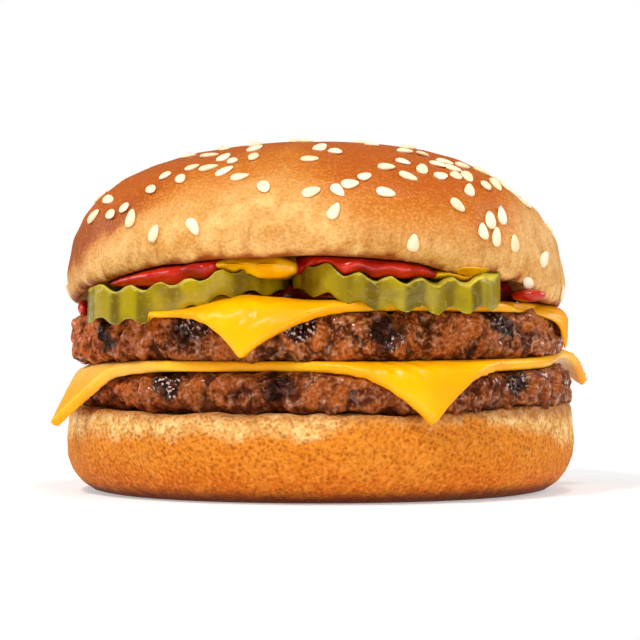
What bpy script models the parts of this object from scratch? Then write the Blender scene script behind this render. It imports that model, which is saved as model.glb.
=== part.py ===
"""Double cheeseburger: a seeded crown, pickle chips, sauces, two patties, two cheese slices and a heel.

Blender 4.5, metres, +Z up. The origin is the centre of the heel's flat base, and the burger's front is
towards -Y. Every layer rests on the one below it with a small gap, and every solid is closed.
"""

import math

import bmesh
import bpy

MM = 0.001
GAP = 0.3 * MM                      # between pieces that touch
SEGMENTS = 48                       # round each bread and patty

# Heel, the bottom bun
HEEL_BASE_RADIUS = 41.5 * MM
HEEL_RADIUS = 49.3 * MM
HEEL_HEIGHT = 16.5 * MM
HEEL_FOOT_HEIGHT = 10.0 * MM        # over which the side curves out from the base
HEEL_RIM_ROUND = 1.0 * MM
HEEL_WAIST = 0.5 * MM               # how far the top rim draws in

# Patties. The rim of the lower one swells at one end, where the upper one curls up over it, and thins
# to a slant at the other end.
LOWER_PATTY = {"x": 1.4 * MM, "radius": 48.0 * MM, "thick": 6.2 * MM, "edge": 4.6 * MM}
UPPER_PATTY = {"x": -0.3 * MM, "radius": 47.1 * MM, "thick": 8.2 * MM, "edge": 6.0 * MM}
LOWER_SLANT = {"azimuth": 200.0, "spread": 45.0, "edge": 5.5 * MM}
RIM_SWELL = {"azimuth": 14.0, "spread": 50.0, "rise": 1.4 * MM, "inward": 9.0 * MM}
PATTY_BLUNTNESS = 2.5               # exponent of the edge's superellipse

# Cheese slices: square, draped over the patty below. Azimuth of the first corner, and for each corner
# the steepest angle at which it hangs.
SLICE_THICK = 2.0 * MM
DRAPE_SLACK = 0.85 * MM             # extra room round a patty's edge
FROM_CORNER = (0, 2.5, 5.5, 9, 13, 18, 25, 34)      # directions from a slice's centre, closest at corners
LOWER_SLICE = {"x": 1.7 * MM, "y": -3.3 * MM, "side": 79.0 * MM, "turn": -69.0, "hang": (72, 62, 76, 44)}
UPPER_SLICE = {"x": 1.7 * MM, "y": -5.5 * MM, "side": 72.5 * MM, "turn": -105.0, "hang": (80, 84, 76, 70)}

# Pickle chips: crinkle-cut ovals, tilted outward over the patty's shoulder
CHIP_THICK = 4.2 * MM
CHIP_RIDGE = 0.65 * MM              # half the height of a crinkle
CHIP_PITCH = 5.4 * MM
CHIP_TILT = 0.05
CHIP_DROOP = 0.24                   # slope that a chip bends down to beyond the shoulder
CHIP_BEND = 4.0 * MM                # how gently it bends
CHIP_LIFT = 0.5 * MM                # over the slice
LEFT_CHIP = {"x": -24.0 * MM, "y": -25.5 * MM, "wide": 18.7 * MM, "long": 17.6 * MM, "phase": 0.10,
             "step": 2.2 * MM}
RIGHT_CHIP = {"x": 13.9 * MM, "y": -31.0 * MM, "wide": 18.9 * MM, "long": 17.3 * MM, "phase": 0.55,
              "step": 0.0}
CHIP_MARGIN = 0.16                  # as a share of its width, kept clear round a chip
STEP_AZIMUTH = -150.0               # the left chip steps down here, off the slice onto the patty
STEP_START = 36.0 * MM
STEP_RUN = 12.0 * MM

# Crown, the top bun: a dome whose front is propped up by the chips
CROWN_X = -0.9 * MM
CROWN_RADIUS = 47.9 * MM
CROWN_TOP = 67.2 * MM
CROWN_CHEEK = 5.4 * MM              # from the rim up to the widest line
CROWN_ROUNDNESS = 2.15              # exponent of the dome's superellipse
CROWN_UNDERSIDE = 46.4 * MM         # height of the cut face at its centre
CUT_SHARES = (0.94, 0.75, 0.54, 0.33, 0.15)         # rings of the cut face, as shares of the rim's radius
CUT_FALL = 0.7                      # slope of the cut face where it sinks beside a chip
CUT_BLEND = 1.2                     # how late the cut face turns down towards the rim
RIM_RADIUS_FRONT = 45.3 * MM
RIM_RADIUS_SIDE = 46.4 * MM
RIM_STATIONS = ((-180, 36.0), (-156, 38.2), (-141, 41.0), (-125, 42.3), (-90, 43.8), (-72, 42.8),
                (-60, 41.4), (-45, 39.6), (-30, 38.2), (-17, 36.6), (0, 35.7), (35, 38.6), (145, 38.6),
                (180, 36.0))

# Sauces between the chips and the crown
SAUCE_THIN = 1.1 * MM               # least room over a chip
SAUCE_FALL = 0.20                   # slope of the ketchup's lower face beside a chip
SAUCE_SLACK = 0.6 * MM              # more room under the crown
SAUCE_PLUG = 10.0 * MM              # radius within which it reaches down to the slice
KETCHUP_RADIUS = 43.0 * MM
KETCHUP_SIDE_DRAW = 6.5 * MM        # how far it draws in at the sides, where the crown sits low
KETCHUP_UNDERCUT = 1.5 * MM
KETCHUP_BAYS = ((-110, 26, 17.0 * MM), (-51, 16, 12.0 * MM))    # azimuth, spread and depth, round the mustard
LEFT_MUSTARD = {"x": -13.0 * MM, "y": -36.0 * MM, "wide": 7.8 * MM, "long": 8.6 * MM}
RIGHT_MUSTARD = {"x": 26.0 * MM, "y": -32.5 * MM, "wide": 5.0 * MM, "long": 8.0 * MM}

LOWER_PATTY["z"] = HEEL_HEIGHT + GAP
UPPER_PATTY["z"] = LOWER_PATTY["z"] + LOWER_PATTY["thick"] + SLICE_THICK + 2 * GAP
CHEESE_TOP = UPPER_PATTY["z"] + UPPER_PATTY["thick"] + GAP + SLICE_THICK

burger = bpy.data.collections.new("double_cheeseburger")


# ---- helpers ---------------------------------------------------------------------------------------

def ease(t):
    """0 to 1, level at both ends."""
    t = min(1.0, max(0.0, t))
    return t * t * (3 - 2 * t)


def bump(azimuth, centre, spread):
    """1 at an azimuth, falling smoothly to 0 at a spread of degrees to either side."""
    off = abs((math.degrees(azimuth) - centre + 180) % 360 - 180)
    return ease(1 - off / spread)


def superellipse(degrees, power):
    """Across and up at an angle from the top, 0 to 1 each."""
    angle = math.radians(degrees)
    return abs(math.sin(angle)) ** (2 / power), abs(math.cos(angle)) ** (2 / power)


def azimuths(count, start=0.0):
    return [math.radians(start) + 2 * math.pi * i / count for i in range(count)]


def mesh_from(name, points, faces):
    mesh = bpy.data.meshes.new(name)
    mesh.from_pydata(points, [], faces)
    shaped = bmesh.new()
    shaped.from_mesh(mesh)
    bmesh.ops.recalc_face_normals(shaped, faces=shaped.faces)
    shaped.to_mesh(mesh)
    shaped.free()
    mesh.shade_smooth()
    mesh.set_sharp_from_angle(angle=math.radians(50))
    return mesh


def lofted(name, rings):
    """A surface through rings of points. A ring of a single point closes an end."""
    around = len(rings[1])
    points, faces, starts = [], [], []
    for ring in rings:
        starts.append(len(points))
        points.extend(ring)
    for upper, lower, upper_ring, lower_ring in zip(starts, starts[1:], rings, rings[1:]):
        for i in range(around):
            j = (i + 1) % around
            if len(upper_ring) == 1:
                faces.append((upper, lower + i, lower + j))
            elif len(lower_ring) == 1:
                faces.append((upper + i, lower, upper + j))
            else:
                faces.append((upper + i, lower + i, lower + j, upper + j))
    return mesh_from(name, points, faces)


def piece(name, mesh, colour, roughness):
    material = bpy.data.materials.new(name)
    material.use_nodes = True
    surface = material.node_tree.nodes["Principled BSDF"]
    surface.inputs["Base Color"].default_value = (*colour, 1.0)
    surface.inputs["Roughness"].default_value = roughness
    mesh.materials.append(material)
    made = bpy.data.objects.new(name, mesh)
    burger.objects.link(made)
    return made


# ---- heel ------------------------------------------------------------------------------------------

def heel():
    """Turned from a profile that runs from the middle of the cut face, down the outside, to the base."""
    rim = HEEL_RADIUS - HEEL_WAIST
    profile = [(0.0, HEEL_HEIGHT), (rim - 12 * MM, HEEL_HEIGHT)]
    for degrees in (0, 45, 90):
        angle = math.radians(degrees)
        profile.append((rim - HEEL_RIM_ROUND * (1 - math.sin(angle)),
                        HEEL_HEIGHT - HEEL_RIM_ROUND * (1 - math.cos(angle))))
    for degrees in range(0, 91, 18):
        angle = math.radians(degrees)
        profile.append((HEEL_BASE_RADIUS + (HEEL_RADIUS - HEEL_BASE_RADIUS) * math.cos(angle),
                        HEEL_FOOT_HEIGHT * (1 - math.sin(angle))))
    profile.append((0.0, 0.0))
    mesh = bpy.data.meshes.new("heel")
    mesh.from_pydata([(r, 0.0, z) for r, z in profile], [(i, i + 1) for i in range(len(profile) - 1)], [])
    turned = piece("heel", mesh, (0.72, 0.40, 0.14), 0.7).modifiers.new("turned", "SCREW")
    turned.steps = SEGMENTS
    turned.render_steps = SEGMENTS
    turned.use_merge_vertices = True
    turned.merge_threshold = 0.00005


# ---- patties ---------------------------------------------------------------------------------------

def patty_outline(sizes, azimuth):
    """Radius of a patty, uneven as ground meat is."""
    wobble = 0.007 * math.cos(2 * azimuth + sizes["x"] / MM) + 0.005 * math.cos(5 * azimuth + 1.1)
    return sizes["radius"] * (1 + wobble + 0.003 * math.cos(9 * azimuth))


def patty_edge(sizes, azimuth):
    """Width of the rounded edge."""
    if sizes is UPPER_PATTY:
        return sizes["edge"]
    return sizes["edge"] + LOWER_SLANT["edge"] * bump(azimuth, LOWER_SLANT["azimuth"], LOWER_SLANT["spread"])


def patty_swell(azimuth):
    """How far the lower patty's edge stands above its middle, and the upper one's foot is curled up."""
    return RIM_SWELL["rise"] * bump(azimuth, RIM_SWELL["azimuth"], RIM_SWELL["spread"])


def patty(name, sizes, colour):
    half = sizes["thick"] / 2
    middle = sizes["z"] + half
    profiles = []
    for azimuth in azimuths(SEGMENTS):
        edge, swell = patty_edge(sizes, azimuth), patty_swell(azimuth)
        shoulder = patty_outline(sizes, azimuth) - edge
        crest, foot = (half, half - swell) if sizes is UPPER_PATTY else (half + swell, half)
        profile = [(shoulder - RIM_SWELL["inward"], half)]
        for degrees in range(0, 181, 30):
            across, up = superellipse(degrees, PATTY_BLUNTNESS)
            profile.append((shoulder + edge * across, crest * up if degrees <= 90 else -foot * up))
        profile.append((shoulder - RIM_SWELL["inward"], -half))
        profiles.append([(sizes["x"] + r * math.cos(azimuth), r * math.sin(azimuth), middle + z)
                         for r, z in profile])
    rings = [[(sizes["x"], 0.0, middle + half)], *zip(*profiles), [(sizes["x"], 0.0, middle - half)]]
    piece(name, lofted(name, rings), colour, 0.5)


# ---- cheese ----------------------------------------------------------------------------------------

def over_edge(wide, deep, hang, run):
    """Where cheese lies that runs this far past the start of a patty's rounded edge: (outward, down).
    It follows the edge, and once that is as steep as the angle hang it goes on straight."""
    out, down = 0.0, 0.0
    for degrees in range(2, 91, 2):
        across, up = superellipse(degrees, PATTY_BLUNTNESS)
        ahead, below = wide * across - out, deep * (1 - up) - down
        slope = min(math.atan2(below, ahead), hang)
        along = math.hypot(ahead, below)
        if along > run or slope == hang:
            break
        run -= along
        out, down = out + ahead, down + below
    return out + run * math.cos(slope), down + run * math.sin(slope)


def slice_point(sizes, under, azimuth, share):
    """A point midway through a draped slice, at a share of the way from its centre to its outline in
    the direction azimuth, before it is draped."""
    corner = (math.degrees(azimuth) - sizes["turn"] + 1e-6) % 360 / 90
    off_corner = math.radians(abs((corner + 0.5) % 1 - 0.5) * 90)
    reach = share * sizes["side"] / 2 / math.cos(math.pi / 4 - off_corner)
    x = sizes["x"] + reach * math.cos(azimuth) - under["x"]
    y = sizes["y"] + reach * math.sin(azimuth)
    turned, far = math.atan2(y, x), math.hypot(x, y)
    edge, swell = patty_edge(under, turned), 0.0 if under is UPPER_PATTY else patty_swell(turned)
    shoulder = patty_outline(under, turned) - edge
    level = under["z"] + under["thick"] + GAP + SLICE_THICK / 2
    if far <= shoulder:
        inward = max(0.0, 1 - (shoulder - far) / RIM_SWELL["inward"])
        return under["x"] + x, y, level + swell * inward
    before, after = sizes["hang"][int(corner) % 4], sizes["hang"][(int(corner) + 1) % 4]
    hang = math.radians(before + (after - before) * ease(corner % 1))
    clear = GAP + SLICE_THICK / 2
    out, down = over_edge(edge + clear + DRAPE_SLACK, under["thick"] / 2 + swell + clear, hang,
                          far - shoulder)
    far = shoulder + out
    return under["x"] + far * math.cos(turned), far * math.sin(turned), level + swell - down


def cheese(name, sizes, under, colour):
    quarter = [*FROM_CORNER, 45, *[90 - degrees for degrees in FROM_CORNER[:0:-1]]]
    directions = [math.radians(sizes["turn"] + 90 * side + degrees) for side in range(4) for degrees in quarter]
    rings = [[slice_point(sizes, under, 0.0, 0.0)]]
    for share in (0.56, 0.75, 0.83, 0.895, 0.95, 1.0):
        rings.append([slice_point(sizes, under, direction, share) for direction in directions])
    thick = piece(name, lofted(name, rings), colour, 0.35).modifiers.new("thick", "SOLIDIFY")
    thick.thickness = SLICE_THICK
    thick.offset = 0.0
    thick.use_even_offset = True


def cheese_fall(x, y):
    """How far the upper slice lies below its level top, past the patty's shoulder."""
    azimuth = math.atan2(y, x - UPPER_PATTY["x"])
    past = math.hypot(x - UPPER_PATTY["x"], y) - patty_outline(UPPER_PATTY, azimuth) + UPPER_PATTY["edge"]
    cover = GAP + SLICE_THICK
    share = min(1.0, max(0.0, past / (UPPER_PATTY["edge"] + cover)))
    return (UPPER_PATTY["thick"] / 2 + cover) * (1 - (1 - share ** PATTY_BLUNTNESS) ** (1 / PATTY_BLUNTNESS))


# ---- pickle chips ----------------------------------------------------------------------------------

def chip_base(sizes, x, y):
    """Height of a chip's lower face, midway between its crinkles' crests and hollows."""
    shoulder = UPPER_PATTY["radius"] - UPPER_PATTY["edge"]
    outward = math.atan2(sizes["y"], sizes["x"])
    tilt = CHIP_TILT * (x * math.cos(outward) + y * math.sin(outward) - shoulder)
    past = max(0.0, math.hypot(x, y) - shoulder)
    droop = CHIP_DROOP * (math.hypot(past, CHIP_BEND) - CHIP_BEND)
    aside = math.radians(STEP_AZIMUTH)
    step = sizes["step"] * ease((x * math.cos(aside) + y * math.sin(aside) - STEP_START) / STEP_RUN)
    return CHEESE_TOP + CHIP_LIFT + CHIP_RIDGE - tilt - droop - step


def chip(name, sizes, colour):
    """An oval slice made of columns of points that run along its ridges."""
    columns = [-0.995, *[-0.95 + 1.9 * i / 26 for i in range(27)], 0.995]
    rows = (-1.0, -0.5, 0.0, 0.5, 1.0)
    points = []
    for height in (CHIP_THICK, 0.0):
        for across in columns:
            u = across * sizes["wide"]
            wave = CHIP_RIDGE * math.sin(2 * math.pi * (u / CHIP_PITCH + sizes["phase"]))
            for along in rows:
                x = sizes["x"] + u
                y = sizes["y"] + along * sizes["long"] * math.sqrt(1 - across * across)
                points.append((x, y, chip_base(sizes, x, y) + wave + height))
    wide, long = len(columns), len(rows)
    lower = wide * long
    faces = []
    for i in range(wide - 1):
        for j in range(long - 1):
            a, b, c, d = i * long + j, (i + 1) * long + j, (i + 1) * long + j + 1, i * long + j + 1
            faces += [(a, b, c, d), (lower + d, lower + c, lower + b, lower + a)]
    outline = [*[i * long for i in range(wide)], *[(wide - 1) * long + j for j in range(1, long)],
               *[i * long + long - 1 for i in range(wide - 2, -1, -1)], *range(long - 2, 0, -1)]
    for a, b in zip(outline, outline[1:] + outline[:1]):
        faces.append((b, a, lower + a, lower + b))
    piece(name, mesh_from(name, points, faces), colour, 0.3)


def chips_clear(x, y, fall):
    """Height just over the chips, falling away beside them at a slope."""
    heights = []
    for sizes in (LEFT_CHIP, RIGHT_CHIP):
        share = math.hypot((x - sizes["x"]) / sizes["wide"], (y - sizes["y"]) / sizes["long"])
        beside = max(0.0, share - 1 - CHIP_MARGIN) * sizes["wide"]
        heights.append(chip_base(sizes, x, y) + CHIP_THICK + CHIP_RIDGE + GAP - fall * beside)
    return max(heights)


# ---- crown -----------------------------------------------------------------------------------------

def rim_radius(azimuth):
    return RIM_RADIUS_FRONT + (RIM_RADIUS_SIDE - RIM_RADIUS_FRONT) * abs(math.cos(azimuth))


def rim_height(azimuth):
    """Height of the crown's rim, from its stations round the burger."""
    degrees = (math.degrees(azimuth) + 180) % 360 - 180
    for (start, before), (end, after) in zip(RIM_STATIONS, RIM_STATIONS[1:]):
        if start <= degrees <= end:
            return (before + (after - before) * ease((degrees - start) / (end - start))) * MM


def underside(azimuth, share):
    """Height of the crown's cut face at a share of the way from its centre to its rim."""
    radius = share * rim_radius(azimuth)
    x, y = CROWN_X + radius * math.cos(azimuth), radius * math.sin(azimuth)
    blend = CROWN_UNDERSIDE + (rim_height(azimuth) - CROWN_UNDERSIDE) * ease(share) ** CUT_BLEND
    return max(blend, CHEESE_TOP - cheese_fall(x, y) + GAP, chips_clear(x, y, CUT_FALL) + SAUCE_THIN + GAP)


def crown():
    profiles = []
    for azimuth in azimuths(SEGMENTS):
        radius = CROWN_RADIUS * (1 + 0.004 * math.cos(2 * azimuth + 0.4) + 0.003 * math.cos(5 * azimuth))
        rim = underside(azimuth, 1.0)
        widest = rim + CROWN_CHEEK
        profile = []
        for degrees in (9, 20, 31, 42, 53, 64, 76, 90):
            across, up = superellipse(degrees, CROWN_ROUNDNESS)
            profile.append((radius * across, widest + (CROWN_TOP - widest) * up))
        for degrees in (35, 65, 90):
            lean = math.radians(degrees)
            tuck = (radius - rim_radius(azimuth)) * math.cos(lean)
            profile.append((rim_radius(azimuth) + tuck, widest - CROWN_CHEEK * math.sin(lean)))
        for share in CUT_SHARES:
            profile.append((rim_radius(azimuth) * share, underside(azimuth, share)))
        profiles.append([(CROWN_X + r * math.cos(azimuth), r * math.sin(azimuth), z) for r, z in profile])
    rings = [[(CROWN_X, 0.0, CROWN_TOP)], *zip(*profiles), [(CROWN_X, 0.0, CROWN_UNDERSIDE)]]
    piece("crown", lofted("crown", rings), (0.80, 0.45, 0.16), 0.6)


# ---- sauces ----------------------------------------------------------------------------------------

def under_crown(x, y):
    """Height just under the crown's cut face, which is straight between its rings."""
    azimuth = math.atan2(y, x - CROWN_X)
    share = min(1.0, math.hypot(x - CROWN_X, y) / rim_radius(azimuth))
    rings = (1.0, *CUT_SHARES, 0.0)
    outer = min(ring for ring in rings if ring >= share)
    inner = rings[min(rings.index(outer) + 1, len(rings) - 1)]
    across = (share - inner) / (outer - inner) if outer > inner else 0.0
    return underside(azimuth, inner) * (1 - across) + underside(azimuth, outer) * across - GAP


def sauce_floor(x, y):
    """Height just over the chips and the slice."""
    if math.hypot(x, y) < SAUCE_PLUG:
        return CHEESE_TOP + GAP
    return max(CHEESE_TOP + GAP, min(chips_clear(x, y, SAUCE_FALL), under_crown(x, y) - SAUCE_THIN))


def ketchup():
    profiles = []
    for azimuth in azimuths(SEGMENTS):
        radius = KETCHUP_RADIUS - KETCHUP_SIDE_DRAW * abs(math.cos(azimuth)) ** 14
        radius -= sum(depth * bump(azimuth, centre, spread) for centre, spread, depth in KETCHUP_BAYS)
        edge = radius - KETCHUP_UNDERCUT
        reaches = [min(rim_radius(azimuth), edge / CUT_SHARES[1]) * share for share in CUT_SHARES[:0:-1]]
        spots = [(CROWN_X + r * math.cos(azimuth), r * math.sin(azimuth)) for r in reaches]
        top = [(x, y, under_crown(x, y) - SAUCE_SLACK) for x, y in spots]
        bottom = [(x, y, sauce_floor(x, y)) for x, y in reversed(spots)]
        x, y = CROWN_X + radius * math.cos(azimuth), radius * math.sin(azimuth)
        lip = (x, y, 0.6 * (under_crown(x, y) - SAUCE_SLACK) + 0.4 * sauce_floor(x, y))
        profiles.append([*top, lip, *bottom])
    rings = [[(CROWN_X, 0.0, under_crown(CROWN_X, 0.0) - SAUCE_SLACK)], *zip(*profiles),
             [(CROWN_X, 0.0, sauce_floor(CROWN_X, 0.0))]]
    piece("ketchup", lofted("ketchup", rings), (0.42, 0.022, 0.010), 0.2)


def mustard(name, sizes):
    """A dollop squeezed between the chips and the crown."""
    def ring(share, side):
        swell = side * math.sqrt(1 - share * share)
        points = []
        for azimuth in azimuths(14):
            x = sizes["x"] + share * sizes["wide"] * math.cos(azimuth)
            y = sizes["y"] + share * sizes["long"] * math.sin(azimuth)
            floor, ceiling = sauce_floor(x, y), under_crown(x, y) - SAUCE_SLACK
            points.append((x, y, (floor + ceiling) / 2 + (ceiling - floor) / 2 * swell))
        return points

    rings = [ring(0.0, 1)[:1], ring(0.5, 1), ring(0.85, 1), ring(1.0, 0), ring(0.85, -1), ring(0.5, -1),
             ring(0.0, -1)[:1]]
    piece(name, lofted(name, rings), (0.80, 0.40, 0.02), 0.25)


def main():
    for old in list(bpy.data.objects):
        bpy.data.objects.remove(old)
    bpy.context.scene.collection.children.link(burger)
    heel()
    patty("lower_patty", LOWER_PATTY, (0.20, 0.075, 0.035))
    cheese("lower_cheese", LOWER_SLICE, LOWER_PATTY, (0.95, 0.50, 0.02))
    patty("upper_patty", UPPER_PATTY, (0.22, 0.08, 0.04))
    cheese("upper_cheese", UPPER_SLICE, UPPER_PATTY, (0.95, 0.50, 0.02))
    chip("pickle_left", LEFT_CHIP, (0.36, 0.30, 0.04))
    chip("pickle_right", RIGHT_CHIP, (0.40, 0.33, 0.05))
    crown()
    ketchup()
    mustard("mustard_left", LEFT_MUSTARD)
    mustard("mustard_right", RIGHT_MUSTARD)


main()
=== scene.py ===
import itertools
import math
import random

import bmesh
import bpy
import numpy as np
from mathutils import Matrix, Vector
from mathutils.bvhtree import BVHTree


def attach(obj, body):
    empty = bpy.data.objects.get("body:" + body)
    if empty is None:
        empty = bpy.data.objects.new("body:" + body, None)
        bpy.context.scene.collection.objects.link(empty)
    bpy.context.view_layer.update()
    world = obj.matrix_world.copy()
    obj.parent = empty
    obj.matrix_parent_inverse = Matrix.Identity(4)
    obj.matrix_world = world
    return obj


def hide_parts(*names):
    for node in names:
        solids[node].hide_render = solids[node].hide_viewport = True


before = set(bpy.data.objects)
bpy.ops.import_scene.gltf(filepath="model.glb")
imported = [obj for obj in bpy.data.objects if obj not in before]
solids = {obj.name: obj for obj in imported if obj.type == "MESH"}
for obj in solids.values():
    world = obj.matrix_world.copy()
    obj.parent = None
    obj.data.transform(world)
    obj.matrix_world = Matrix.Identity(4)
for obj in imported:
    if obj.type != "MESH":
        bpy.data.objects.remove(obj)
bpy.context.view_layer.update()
mm = 0.001
print("frame loaded:", len(solids), "solids")


def ease(value):
    # 0 below 0, 1 above 1, and a soft step between
    part = np.clip(value, 0, 1)
    return part * part * (3 - 2 * part)


def hump(value, middle, width):
    return np.exp(-((value - middle) / width) ** 2)


def turned(angle, middle):
    # degrees from the middle, the short way round
    return (angle - middle + 180) % 360 - 180


def azimuthOf(points):
    return np.degrees(np.arctan2(points[:, 1], points[:, 0]))


def reachOf(points):
    # distance from the upright axis
    return np.linalg.norm(points[:, :2], axis=1)


def around(points, angle, wide):
    # 1 at an azimuth, falling off to both sides
    return hump(turned(azimuthOf(points), angle), 0, wide)


def heading(angle):
    # cosine and sine of an azimuth
    turn = math.radians(angle)
    return math.cos(turn), math.sin(turn)


def cloud(points, size, seed):
    # smooth noise from -1 to 1 whose lumps are about size mm
    random3d = np.random.default_rng(seed)
    grid = random3d.random((48, 48, 48)) * 2 - 1
    place = points / size + 500
    corner = np.floor(place).astype(int)
    share = place - corner
    share = share * share * (3 - 2 * share)
    total = np.zeros(len(points))
    for step in itertools.product((0, 1), repeat=3):
        key = (corner + step) % 48
        weight = np.prod(np.where(np.array(step) == 1, share, 1 - share), axis=1)
        total += weight * grid[key[:, 0], key[:, 1], key[:, 2]]
    return total


def wobble(points, note, kind, seed):
    # noise of the height and size that a note gives
    return note[kind] * cloud(points, note[kind + "Size"], seed)


def crumbs(points, size, seed):
    # distance to the nearest of scattered centres, in cell sizes, and each crumb's own number
    random3d = np.random.default_rng(seed)
    jitter = random3d.random((40, 40, 40, 3))
    tone = random3d.random((40, 40, 40))
    place = points / size + 500
    corner = np.floor(place).astype(int)
    near = np.full(len(points), 9.0)
    own = np.zeros(len(points))
    for step in itertools.product((-1, 0, 1), repeat=3):
        cell = corner + step
        key = cell % 40
        centre = cell + jitter[key[:, 0], key[:, 1], key[:, 2]]
        gap = np.linalg.norm(place - centre, axis=1)
        closer = gap < near
        own = np.where(closer, tone[key[:, 0], key[:, 1], key[:, 2]], own)
        near = np.where(closer, gap, near)
    return near, own


def warped(points, size, reach, seed):
    # the same points pushed about by noise, so that patterns lose their straight lines
    shifts = [cloud(points, size, seed + axis) for axis in range(3)]
    return points + reach * np.stack(shifts, axis=1)


def settle(obj):
    # applies the modifiers, for a smooth mesh
    shape = obj.evaluated_get(bpy.context.evaluated_depsgraph_get())
    mesh = bpy.data.meshes.new_from_object(shape)
    obj.modifiers.clear()
    mesh.materials.clear()
    mesh.shade_smooth()
    obj.data = mesh


def addMesh(name, points, faces):
    mesh = bpy.data.meshes.new(name)
    mesh.from_pydata([tuple(point) for point in points], [], faces)
    obj = bpy.data.objects.new(name, mesh)
    bpy.context.scene.collection.objects.link(obj)
    return obj


def evenSkin(name, node, note, extra=()):
    # one closed skin over a solid and any extra pieces, with faces of about the note's grain in mm, softened
    obj = bpy.data.objects.new(name, solids[node].data.copy())
    bpy.context.scene.collection.objects.link(obj)
    if extra:
        parts = [obj, *extra]
        with bpy.context.temp_override(active_object=obj, selected_objects=parts,
                                       selected_editable_objects=parts):
            bpy.ops.object.join()
    even = obj.modifiers.new("even", "REMESH")
    even.mode = "VOXEL"
    even.voxel_size = note["grain"] * mm
    soft = obj.modifiers.new("soft", "SMOOTH")
    soft.factor = 0.5
    soft.iterations = note["softening"]
    settle(obj)
    return obj


def readPoints(obj):
    # points in mm and their normals
    count = len(obj.data.vertices)
    points = np.empty(count * 3)
    obj.data.vertices.foreach_get("co", points)
    normals = np.empty(count * 3)
    obj.data.vertex_normals.foreach_get("vector", normals)
    return points.reshape(-1, 3) / mm, normals.reshape(-1, 3)


def writePoints(obj, points):
    obj.data.vertices.foreach_set("co", (points * mm).ravel())
    obj.data.update()


def store(obj, name, values):
    # a number at each point for the material to read
    layer = obj.data.attributes.new(name, "FLOAT", "POINT")
    layer.data.foreach_set("value", values.astype(np.float32))


def treeOf(*objs):
    # what rays meet, over one or more pieces
    points, faces = [], []
    for obj in objs:
        start = len(points)
        points += [vertex.co.copy() for vertex in obj.data.vertices]
        faces += [tuple(index + start for index in face.vertices) for face in obj.data.polygons]
    return BVHTree.FromPolygons(points, faces)


def firstHit(tree, x, y, z, up):
    # height in mm of the first surface straight above or below a point
    hit = tree.ray_cast(Vector((x, y, z)) * mm, Vector((0, 0, 1 if up else -1)))[0]
    return hit.z / mm if hit else None


def heldBack(points, moved, tree, room=0.12):
    # the moved points, each stopped short of the neighbours it would run into
    for index in np.nonzero(np.linalg.norm(moved - points, axis=1) > 0.02)[0]:
        start = Vector(points[index]) * mm
        way = Vector(moved[index]) * mm - start
        length = way.length
        hit, normal, face, distance = tree.ray_cast(start, way / length, length + room * mm)
        if hit is not None:
            free = max(0, distance - room * mm)
            moved[index] = points[index] + (moved[index] - points[index]) * free / length
    return moved


def keepUnder(points, chosen, roof, start, room):
    # lowers those of the chosen points that stand above the first surface over a height
    for index in np.nonzero(chosen)[0]:
        high = firstHit(roof, points[index, 0], points[index, 1], start, True)
        if high is not None:
            points[index, 2] = min(points[index, 2], high - room)


def thinned(obj, share):
    fewer = obj.modifiers.new("fewer", "DECIMATE")
    fewer.ratio = share
    settle(obj)


def dropLoose(obj, least):
    # deletes loose bits with fewer faces than this
    made = bmesh.new()
    made.from_mesh(obj.data)
    left, spare = set(made.faces), []
    while left:
        bit = [left.pop()]
        for face in bit:
            for edge in face.edges:
                near = [other for other in edge.link_faces if other in left]
                left.difference_update(near)
                bit += near
        if len(bit) < least:
            spare += bit
    bmesh.ops.delete(made, geom=spare, context="FACES")
    made.to_mesh(obj.data)
    made.free()


def place(obj, material, slot, *replaced):
    obj.data.materials.clear()
    obj.data.materials.append(material)
    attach(obj, "root")
    if replaced:
        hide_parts(*replaced)


def shade(*channels):
    # a colour from 0 to 255 a channel, in linear light
    parts = [value / 255 for value in channels]
    return [part / 12.92 if part <= 0.04045 else ((part + 0.055) / 1.055) ** 2.4 for part in parts] + [1]


def grey(value):
    return (value, value, value, 1)


class Wire:
    # one socket of a material; sums and products of wires make Math nodes
    def __init__(self, finish, socket):
        self.finish = finish
        self.socket = socket

    def __add__(self, other):
        return self.finish.maths("ADD", self, other)

    def __sub__(self, other):
        return self.finish.maths("SUBTRACT", self, other)

    def __rsub__(self, other):
        return self.finish.maths("SUBTRACT", other, self)

    def __mul__(self, other):
        return self.finish.maths("MULTIPLY", self, other)

    def __truediv__(self, other):
        return self.finish.maths("DIVIDE", self, other)

    def __pow__(self, other):
        return self.finish.maths("POWER", self, other)

    __radd__ = __add__
    __rmul__ = __mul__


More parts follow.
